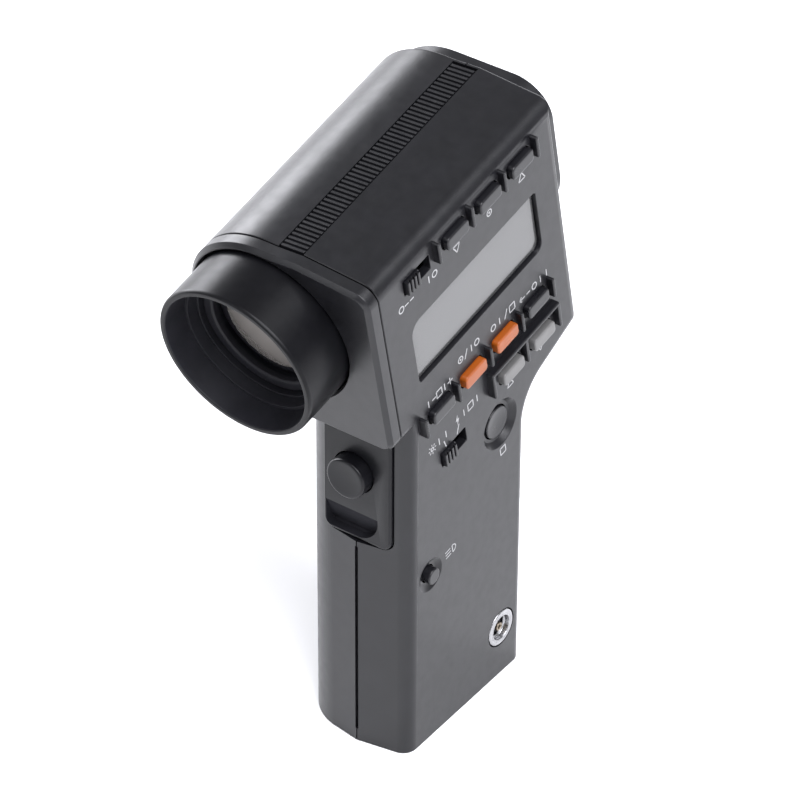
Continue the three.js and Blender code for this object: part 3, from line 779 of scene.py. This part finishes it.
def panel_cutters():
    """One solid for each opening of the key panel."""
    cutters = []
    for node in KEYS:
        ys, zs = key_cap_box(node)
        cutters.append(panel_cutter(rectangle((ys[0] - GAP, ys[1] + GAP), (zs[0] - GAP, zs[1] + GAP), 1.2)))
    for node in SWITCHES:
        centre = node_centre(node)
        ys = (centre.y - 2.7, centre.y + 2.7 + SWITCH_TRAVEL)
        zs = (centre.z - 2.0, centre.z + 2.0)
        cutters.append(panel_cutter(rectangle(ys, zs, 0.4)))
    low, high = node_box("display_window")
    cutters.append(panel_cutter(display_corners((low.y - GAP, high.y + GAP), (low.z - GAP, high.z + GAP))))
    for node, dish, floor_x in (("memory_button", 6.1, 13.55), ("lamp_button", 4.1, 14.05)):
        radius = BUTTON_RADIUS[node]
        cutters.append(round_solid("button_cut", "x", side_place(node), [
            (radius + GAP, 10),
            (radius + GAP, floor_x - 0.05),
            (radius + 1.1, floor_x),
            (dish, PANEL_X - 0.1),
            (dish + 0.15, PANEL_X + 0.002),
            (dish + 0.15, PANEL_X + 1),
        ]))
    cutters.append(cylinder("socket_cut", "x", side_place("sync_socket"), SOCKET_RADIUS + GAP, 10, 20))
    return cutters


def display_corners(ys, zs):
    """The window's outline: a wide round corner in front above, small ones elsewhere."""
    return [(ys[0], zs[0], 0.8), (ys[1], zs[0], 2.2), (ys[1], zs[1], 0.8), (ys[0], zs[1], 3.4)]


def make_shells():
    shell = body_shell()
    left = half("left_shell_skin", shell, -1)
    right = half("right_shell_skin", shell, 1)
    discard(shell)
    for tool in panel_ribs():
        join(right, move(tool, HEAD))
    for tool in panel_cutters():
        cut(right, move(tool, HEAD))
    head_bore, shank_bore = 2.5, 1.4
    steps = [(head_bore, -16), (head_bore, -13.4), (shank_bore, -13.39), (shank_bore, -10)]
    for node in GRIP_SCREWS:
        cut(left, round_solid("bore", "x", side_place(node, ROW), steps))
    finish_piece(right, body_look, ["right_shell"], space=ROW)
    finish_piece(left, body_look, ["left_shell"], space=ROW)


# ---- Bezel, hood and lens ----
def make_bezel():
    chamfer = 0.95
    side_y = BEZEL_FRONT_Y + chamfer
    bezel = shaped("front_bezel_skin", "y", HEAD_CORNERS, [
        (0.12, HEAD_FRONT_Y),
        (0, HEAD_FRONT_Y - 0.12),
        (0, side_y + 0.1),
        (0.05, side_y - 0.05),
        (chamfer - 0.1, BEZEL_FRONT_Y + 0.08),
        (chamfer + 0.08, BEZEL_FRONT_Y),
    ])
    bore = round_solid("bore", "y", LENS_PLACE, [
        (HOOD_RADIUS + 1.0, BEZEL_FRONT_Y - 1),
        (HOOD_RADIUS + 0.7, BEZEL_FRONT_Y + 0.2),
        (HOOD_RADIUS + 0.35, BEZEL_FRONT_Y + 0.5),
        (HOOD_RADIUS + 0.35, HEAD_FRONT_Y + 1),
    ], 128)
    cut(bezel, bore)
    finish_piece(bezel, body_look, ["front_bezel"])


def make_hood():
    """The hood barrel: a rounded lip, a slightly tapered bore and two stepped baffles before the lens."""
    lip = HOOD_FRONT_Y
    profile = [
        (17.8, lip + 0.25, 0.5), (18.0, lip, 0.4), (19.0, lip, 0.8), (HOOD_RADIUS, lip + 0.6, 0.8),
        (HOOD_RADIUS, HEAD_FRONT_Y - 0.4), (18.4, HEAD_FRONT_Y), (18.4, 1), (14.4, 1),
        (14.4, -10.2), (15.9, -10.2), (15.9, -13.4, 0.4),
        (16.3, -13.4), (16.6, -16.2, 0.4), (17.3, -16.2),
    ]
    hood = lathe("lens_hood_skin", rounded(profile, 0.3), 192)
    finish_piece(hood, hood_look, ["lens_hood"])
    second_look(hood, baffle_look, lambda point: lens_reach(point) < 17.95 and point.y > lip + 0.1)


def make_retaining_ring():
    low, high = node_box("retaining_ring")
    outer = (high.z - low.z) / 2
    inner = 13.2
    profile = [
        (inner, low.y + 0.35, 1), (inner + 0.5, low.y, 1), (outer - 0.15, low.y, 1),
        (outer, high.y), (inner, high.y),
    ]
    ring = lathe("retaining_ring_skin", rounded(profile, 0.15), 160)
    finish_piece(ring, baffle_look, ["retaining_ring"])


def make_lens(name, node, front_rise, rear_rise, radius, look, shade_rim=0):
    """A lens with spherical faces: rise is how far a face stands out at its middle.
    Beyond the radius that the last argument gives, its face takes the dark baffle look as painted shade
    round the lens's light middle."""
    low, high = node_box(node)
    steps = 14
    shares = [k / steps for k in range(steps + 1)]
    front = [(radius * share, low.y + front_rise * share**2) for share in shares]
    rear = [(radius * share, high.y - rear_rise * share**2) for share in reversed(shares)]
    lens = lathe(name, front + rear)
    finish_piece(lens, look, [node])
    if shade_rim:
        # Painted shade: the lens face beyond this radius gets the dark baffle look.
        second_look(lens, baffle_look, lambda point: lens_reach(point) > shade_rim)


# ---- Grip strip ----
def make_grip_strip():
    """A comb of fine cross ribs, extruded across the strip and sloped as the head's top is."""
    low, high = node_box("grip_strip")
    ribs = 50
    pitch = (high.y - low.y) / ribs
    base, crest = 35.5, 35.98
    points = [(low.y, 34.85), (high.y, 34.85)]
    for i in reversed(range(ribs)):
        start = low.y + i * pitch
        end = start + 0.7 * pitch
        points += [(start + pitch * 0.92, base), (end, base), (end - 0.1, crest - 0.08)]
        points += [(end - 0.22, crest), (start + 0.22, crest), (start + 0.1, crest - 0.08), (start, base)]
    strip = prism("grip_strip_skin", points, "x", low.x, high.x)
    slope = (STRIP_RIGHT[1] - STRIP_LEFT[1]) / (STRIP_RIGHT[0] - STRIP_LEFT[0])
    shear = Matrix.Identity(4)
    shear[2][0] = slope
    shear[2][3] = -slope * (low.x + high.x) / 2
    finish_piece(strip, body_look, ["grip_strip"], space=HEAD @ shear)


# ---- Display, keys, buttons and switches ----
def make_display():
    low, high = node_box("display_window")
    corners = display_corners((low.y, high.y), (low.z, high.z))
    window = cushion("display_window_skin", corners, "x", low.x, high.x, 0.12, 2)
    look = display_face("display_look", (low.y, low.z), (high.y, high.z))
    finish_piece(window, look, ["display_window"])


def make_key(node, look):
    """A key cap with a soft edge and a slightly domed face, on its flange."""
    low, high = node_box(node)
    ys, zs = key_cap_box(node)
    dome = 0.03
    cap = cushion("cap", rectangle(ys, zs, 0.95), "x", low.x + 0.2, high.x - dome, 0.4, 5, dome)
    flange = box("flange", (low.x, low.x + 1.0), (low.y, high.y), (low.z, high.z))
    join(cap, flange)
    cap.name = node + "_cap"
    finish_piece(cap, look, [node], body=node, sharp=45)


def button_face(radius, face, outward, edge, inset, hollow, steps):
    """Profile points from a button's round edge to the hollow in the middle of its face.
    outward is 1 if it faces along its axis, else -1."""
    points = [(radius - aside, face - outward * back) for aside, back in quarter_round(edge, steps)]
    for k in range(steps, -1, -1):
        share = k / steps
        points.append((share * (radius - edge - inset), face - outward * hollow * (1 - share**2)))
    return points


def make_round_button(node, hollow):
    """A round button with a soft edge. hollow is how far the middle of its face is dished."""
    low, high = node_box(node)
    radius = BUTTON_RADIUS[node]
    flange = (high.y - low.y) / 2
    profile = [(0, low.x), (flange, low.x), (flange, low.x + 1.2), (radius, low.x + 1.2)]
    profile += button_face(radius, high.x, 1, 0.32, 0.15, hollow, 6)
    button = lathe(node + "_cap", profile, 96, "x", side_place(node))
    finish_piece(button, key_look, [node], body=node)


def make_switch(node):
    """A slide switch knob with four finger ridges, on its slider plate."""
    low, high = node_box(node)
    centre = (low + high) / 2
    knob = (centre.y - 2.3, centre.y + 2.3)
    ridges = 4
    pitch = (knob[1] - knob[0]) / ridges
    base, crest = high.x - 0.75, high.x
    points = []
    for i in range(ridges):
        start = knob[0] + i * pitch
        points += [(base, start), (crest - 0.1, start + 0.06), (crest, start + 0.16)]
        points += [(crest, start + 0.56 * pitch), (crest - 0.1, start + 0.64 * pitch)]
        points.append((base, start + 0.7 * pitch))
    points += [(base, knob[1]), (low.x + 1, knob[1]), (low.x + 1, knob[0])]
    grip = prism("knob", points, "z", centre.z - 1.75, centre.z + 1.75)
    plate = box("plate", (low.x, low.x + 1.4), (low.y, high.y), (low.z, high.z))
    join(grip, plate)
    grip.name = node + "_knob"
    finish_piece(grip, key_look, [node], body=node, bevel=0.08)


# ---- Trigger ----
def make_trigger_plate():
    """The plate round the measuring button, with a scoop for the finger below it."""
    low, high = node_box("trigger_plate", ROW)
    corners = rectangle((low.x, high.x), (low.z, high.z), 2.5)
    plate = cushion("trigger_plate_skin", corners, "y", high.y, low.y - FACE_FORWARD, 0.6, 6)
    centre = node_centre("measuring_button", ROW)
    cut(plate, cylinder("bore", "y", (centre.x, centre.z), PLATE_BORE, -30, -10))
    floor_y = high.y - 0.35
    side_x = 7.6
    scoop = prism("scoop", [
        (-30, low.z + 0.75),
        (floor_y - 0.3, low.z + 0.75),
        (floor_y, low.z + 1.1),
        (floor_y - 0.1, low.z + 1.6),
        (low.y - FACE_FORWARD - 0.02, low.z + 7.4),
        (-30, low.z + 7.4),
    ], "x", -40, 40)
    window = [
        (low.x + 0.7, low.z + 0.7, 1.4),
        (side_x, low.z + 0.7, 5.6),
        (side_x, low.z + 14, 0),
        (low.x + 0.7, low.z + 14, 0),
    ]
    common(scoop, prism("window", outline(window), "y", -40, -10))
    cut(plate, scoop)
    finish_piece(plate, plate_look, ["trigger_plate"], space=ROW)

    def in_scoop(point):
        sunk = low.y + 0.05 < point.y < high.y - 0.2
        return sunk and low.x + 0.3 < point.x < side_x + 0.3 and low.z + 0.4 < point.z < low.z + 8

    # The scoop's faces take the dull scoop look as painted shade.
    second_look(plate, scoop_shade_look, in_scoop, ROW)


def make_measuring_button():
    low, high = node_box("measuring_button", ROW)
    centre = (low + high) / 2
    radius = 4.9
    flange = (high.x - low.x) / 2
    profile = [(0, high.y), (radius, high.y), (radius, high.y - 1.5), (flange, high.y - 1.5)]
    profile += [(flange, high.y - 2.8), (radius, high.y - 2.8)]
    profile += button_face(radius, low.y, -1, 0.55, 0.2, 0.22, 7)
    button = lathe("measuring_button_cap", profile, centre=(centre.x, centre.z))
    node = "measuring_button"
    finish_piece(button, plate_look, [node], body=node, space=ROW)


def make_measuring_spring():
    """The return spring behind the button, drawn as one fixed coil though the real one shortens as the
    button goes in.
    """
    low, high = node_box("measuring_spring", ROW)
    wire = 0.3  # radius of the wire
    coil_radius = (high.x - low.x) / 2 - wire
    centre = (low + high) / 2
    turns, steps, sides = 4, 32, 10
    start, end = low.y + wire, high.y - wire
    bm = bmesh.new()
    rings = []
    for k in range(turns * steps + 1):
        turn = 2 * math.pi * k / steps
        outward = Vector((math.cos(turn), 0, math.sin(turn)))
        place = centre + outward * coil_radius
        place.y = start + (end - start) * k / (turns * steps)
        ring = []
        for i in range(sides):
            angle = 2 * math.pi * i / sides
            aside = outward * math.cos(angle) + Vector((0, math.sin(angle), 0))
            ring.append(bm.verts.new(place + aside * wire))
        rings.append(ring)
    for first, second in zip(rings, rings[1:]):
        wall(bm, first, second)
    bm.faces.new(rings[0])
    bm.faces.new(rings[-1])
    spring = mesh_object("measuring_spring_coil", bm)
    finish_piece(spring, steel_look, ["measuring_spring"], space=ROW)
    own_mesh(spring)


# ---- Sockets, rear end, base ----
def make_tube(node, inner, outer, soft, axis, look, count, centre=LENS_PLACE):
    """A plain tube with a rounded far end, as long as its node."""
    low, high = node_box(node)
    along = "xyz".index(axis)
    start, end = low[along], high[along]
    profile = [(inner, start), (outer, start), (outer, end, 1), (inner, end, 1)]
    tube = lathe(node + "_skin", rounded(profile, soft), count, axis, centre)
    finish_piece(tube, look, [node])


def make_sync_socket():
    low, high = node_box("sync_socket")
    centre = side_place("sync_socket")
    face = high.x
    bore, flange = 2.6, 5.6
    profile = [
        (bore, low.x), (flange, low.x), (flange, low.x + 1.9), (SOCKET_RADIUS, low.x + 1.9),
        (SOCKET_RADIUS, face - 0.2, 1), (4.2, face, 1), (3.75, face, 1),
        (3.6, face - 0.12, 1), (3.45, face, 1), (3.1, face - 0.05, 1),
        (2.95, face - 1.2, 1), (bore, face - 1.4, 1),
    ]
    socket = lathe("sync_socket_skin", rounded(profile, 0.14), 96, "x", centre)
    finish_piece(socket, steel_look, ["sync_socket"])
    make_tube("sync_insulator", 1.35, 2.3, 0.2, "x", baffle_look, 64, centre)
    make_tube("sync_pin", 0.5, 1.05, 0.2, "x", brass_look, 48, centre)


def make_rear_cover():
    low, high = node_box("rear_cover")
    cover = cushion("rear_cover_skin", REAR_COVER_CORNERS, "y", low.y, high.y, 0.5, 5)
    cut(cover, cylinder("bore", "y", LENS_PLACE, 13.4, 50, 70, count=128))
    finish_piece(cover, body_look, ["rear_cover"], bevel=0.12)


def make_eyepiece():
    low, high = node_box("diopter_ring")
    start, rear = low.y, high.y
    step_y = 63.4  # where the ring's bore widens for the tube
    profile = [
        (11.3, start), (12.8, start), (13.0, start + 3.4),
        (13.0, start + 3.6, 1), (13.0, rear - 1.1, 1), (12.7, rear - 0.4, 1),
        (12.2, rear), (11.2, rear), (10.2, rear - 0.25), (9.4, rear - 0.9), (8.6, rear - 1.9),
        (8.6, step_y), (11.3, step_y),
    ]
    ring = lathe("diopter_ring_skin", profile, 240, ripple=(20, 0.42))
    finish_piece(ring, hood_look, ["diopter_ring"], body="diopter_ring")
    make_tube("eyepiece_tube", 9.6, 11, 0.25, "y", baffle_look, 96)


def make_battery_cover():
    """The cover with a round hinge edge and finger grooves at its free end."""
    low, high = node_box("battery_cover", ROW)
    thick = high.z - low.z
    pin_y = high.y - thick / 2
    points = [(low.y, thick), (low.y, 0.3), (low.y + 0.3, 0.0)]
    grooves = 5
    for i in range(grooves):
        start = low.y + 2.2 + i * 1.2
        points += [(start, 0.0), (start + 0.2, 0.4), (start + 0.5, 0.4), (start + 0.7, 0.0)]
    steps = 12
    for k in range(steps + 1):
        turn = -math.pi / 2 + math.pi * k / steps
        points.append((pin_y + thick / 2 * math.cos(turn), thick / 2 + thick / 2 * math.sin(turn)))
    cover = prism("battery_cover_skin", points, "x", low.x, high.x)
    node = "battery_cover"
    finish_piece(cover, body_look, [node], body=node, space=ROW, bevel=0.1)


def make_tripod_bush():
    low, high = node_box("tripod_bush", ROW)
    centre = (low + high) / 2
    outer, root, crest = 4.6, 3.0, 2.6
    profile = [(outer, high.z), (outer, low.z), (root, low.z), (crest, low.z + 0.4)]
    pitch = 1.0
    grooves = int((high.z - low.z - 1.2) / pitch)
    for i in range(grooves):
        level = low.z + 0.6 + i * pitch
        profile += [(crest, level), (root, level + pitch * 0.45), (crest, level + pitch * 0.9)]
    profile.append((crest, high.z))
    bush = lathe("tripod_bush_skin", profile, 96, "z", (centre.x, centre.y))
    finish_piece(bush, brass_look, ["tripod_bush"], space=ROW)


def make_grip_screws():
    """Cross-slotted screws whose heads sit in the left half."""
    for node in GRIP_SCREWS:
        low, high = node_box(node, ROW)
        y, z = side_place(node, ROW)
        profile = [
            (0, low.x), (1.75, low.x), (2.1, low.x + 0.2), (2.2, low.x + 0.45), (2.2, low.x + 0.9),
            (1.1, low.x + 0.9), (1.1, high.x - 0.8), (0.5, high.x), (0, high.x),
        ]
        screw = lathe(node + "_skin", profile, 64, "x", (y, z))
        for half_y, half_z in ((1.3, 0.3), (0.3, 1.3)):
            slot = box("slot", (low.x - 1, low.x + 0.5), (y - half_y, y + half_y), (z - half_z, z + half_z))
            cut(screw, slot)
        finish_piece(screw, steel_look, [node], space=ROW)


# ---- Printed marks ----
SIGN_SIZE = 0.95  # half the height of a printed sign
LINE_WIDTH = 0.3
FINE_WIDTH = 0.24
# Each sign's lines, with the sign's middle at (0, 0) and lengths as shares of SIGN_SIZE.
SIGN_LINES = {
    "bar": [[(0, -1), (0, 1)]],
    "dash": [[(-0.7, 0), (0.7, 0)]],
    "plus": [[(-1, 0), (1, 0)], [(0, -1), (0, 1)]],
    "square": [[(-1, -1), (1, -1), (1, 1), (-1, 1), (-1, -1)]],
    "back": [[(1, 0), (-1, 0)], [(-1, 0), (-0.2, 0.8)], [(-1, 0), (-0.2, -0.8)]],
    "slope": [[(-0.6, -1.2), (0.6, 1.2)]],
    "up": [[(-1.2, -0.96), (1.2, -0.96), (0, 1.2), (-1.2, -0.96)]],
    "down": [[(-1.2, 0.96), (1.2, 0.96), (0, -1.2), (-1.2, 0.96)]],
}


# Each row of signs: what it stands by, the row's ends and height from the middle of that, and the signs.
SIGN_ROWS = [
    ("power_switch", -5.3, 0.2, -4.4, "ring dash dash"),
    ("power_switch", 4.4, 8.5, -4.3, "bar ring"),
    ("shadow_key", -0.8, 1.4, -4.7, "down"),
    ("average_key", -0.8, 1.4, -4.7, "target"),
    ("highlight_key", -0.6, 1.6, -4.5, "up"),
    ("memory_clear_key", -4.4, 5.4, 4.0, "bar dash square bar plus"),
    ("aperture_key", -4.0, 4.0, 6.4, "target slope bar ring"),
    ("time_key", -4.0, 5.4, 5.2, "ring bar slope square"),
    ("recall_key", -5.0, 6.4, 4.3, "back dash ring bar bar"),
    ("up_key", -1.9, 0.9, -3.8, "up"),
    ("down_key", -1.9, 0.9, -3.3, "down"),
    ("mode_switch", -6.2, 1.4, 5.9, "sun bar bar"),
    ("mode_switch", 3.2, 13.0, 6.2, "bolt bar square bar"),
    ("memory_button", -1.6, 0.8, -7.9, "square"),
]


def flat_shape(points):
    return prism("mark", points, "x", PANEL_X + PRINT_FROM, PANEL_X + INK)


def stroke(start, end, width=LINE_WIDTH):
    """A straight printed line."""
    a, b = Vector(start), Vector(end)
    along = (b - a).normalized()
    side = Vector((-along.y, along.x)) * width / 2
    return flat_shape([tuple(a - side), tuple(b - side), tuple(b + side), tuple(a + side)])


def placed(points, centre, size):
    return [(centre[0] + u * size, centre[1] + v * size) for u, v in points]


def strokes(points, width=LINE_WIDTH):
    return [stroke(start, end, width) for start, end in zip(points, points[1:])]


def loop(centre, radius):
    """A printed ring."""
    bm = bmesh.new()
    low, high, inner = PANEL_X + PRINT_FROM, PANEL_X + INK, radius - LINE_WIDTH
    rings = []
    for reach, level in ((radius, low), (radius, high), (inner, high), (inner, low)):
        rings.append([bm.verts.new((level, u, v)) for u, v in circle(centre, reach, 32)])
    for i in range(4):
        wall(bm, rings[i], rings[(i + 1) % 4])
    return mesh_object("mark", bm)


def printed_sign(kind, place):
    """One printed sign with its middle at place."""
    if kind in SIGN_LINES:
        marks = []
        for line in SIGN_LINES[kind]:
            marks += strokes(placed(line, place, SIGN_SIZE))
        return marks
    if kind == "bolt":
        return bolt_mark(place, SIGN_SIZE * 1.5)
    if kind == "sun":
        return sun_mark(place, SIGN_SIZE * 1.5)
    dot = [flat_shape(circle(place, 0.3, 16))] if kind == "target" else []
    return [loop(place, SIGN_SIZE), *dot]


def sun_mark(centre, size):
    marks = [loop(centre, size * 0.42)]
    for k in range(8):
        turn = k * math.pi / 4
        ray = Vector((math.cos(turn), math.sin(turn)))
        start = Vector(centre) + ray * size * 0.62
        marks.append(stroke(start, start + ray * size * 0.34, FINE_WIDTH))
    return marks


def bolt_mark(centre, size):
    shape = [(0.15, 1), (-0.45, -0.1), (-0.02, -0.1), (-0.15, -1), (0.45, 0.15), (0.02, 0.15)]
    return [flat_shape(placed(shape, centre, size))]


def lamp_mark(centre, size):
    u, v = centre
    turns = [-math.pi / 2 + math.pi * k / 10 for k in range(11)]
    arc = [(u + size * 0.9 * math.cos(t), v + size * 0.75 * math.sin(t)) for t in turns]
    marks = strokes([*arc, arc[0]], 0.28)
    for k in (-1, 0, 1):
        level = v + k * size * 0.62
        marks.append(stroke((u - size * 1.9, level), (u - size * 0.5, level), FINE_WIDTH))
    return marks


def make_marks():
    """Plain signs by the keys and switches."""
    marks = []
    for node, start, end, rise, kinds in SIGN_ROWS:
        y, z = side_place(node)
        step = (end - start) / len(kinds.split())
        for i, kind in enumerate(kinds.split()):
            marks += printed_sign(kind, (y + start + (i + 0.5) * step, z + rise))
    y, z = side_place("mode_switch")
    marks.append(stroke((y - 0.9, z + 4.6), (y - 0.4, z + 2.5)))
    marks.append(stroke((y + 4.7, z + 4.8), (y + 3.6, z + 2.5)))
    y, z = side_place("lamp_button")
    marks += lamp_mark((y + 8.3, z + 0.35), 1.35)
    finish_piece(gather("panel_marks", marks), ink_look)


# ---- Nodes that keep their CAD shape ----
KEPT_NODES = [
    (baffle_look, ["baffle_tube", "optics_chassis", "display_frame", "measuring_switch"]),
    (inner_glass_look, ["beam_splitter", "finder_display"]),
    (steel_look, ["field_mask", "light_cell", "battery_spring", "battery_contact"]),
    (grey_look, ["display_module"]),
    (board_look, ["main_board", "grip_board"]),
    (rubber_look, ["upper_key_mat", "lower_key_mat"]),
    (battery_look, ["battery"]),
]


def dress_kept_nodes():
    for look, nodes in KEPT_NODES:
        for node in nodes:
            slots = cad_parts[node].material_slots
            if not slots:
                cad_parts[node].data.materials.append(look)
            for slot in slots:
                slot.material = look


make_shells()
make_bezel()
make_hood()
make_retaining_ring()
make_lens("front_lens_glass", "front_lens", 3.0, 0.0, 14.1, lens_reflection_look, shade_rim=11.1)
make_lens("rear_lens_glass", "rear_lens", 0.8, 0.8, 9.4, inner_glass_look)
make_lens("eyepiece_lens_glass", "eyepiece_lens", 1.2, 1.4, 9.3, inner_glass_look)
make_grip_strip()
make_display()
for key in BLACK_KEYS:
    make_key(key, key_look)
for key in ORANGE_KEYS:
    make_key(key, orange_look)
for key in GREY_KEYS:
    make_key(key, grey_look)
make_round_button("memory_button", 0.25)
make_round_button("lamp_button", 0.0)
for switch in SWITCHES:
    make_switch(switch)
make_trigger_plate()
make_measuring_button()
make_measuring_spring()
make_sync_socket()
make_rear_cover()
make_eyepiece()
make_battery_cover()
make_tripod_bush()
make_grip_screws()
make_marks()
dress_kept_nodes()
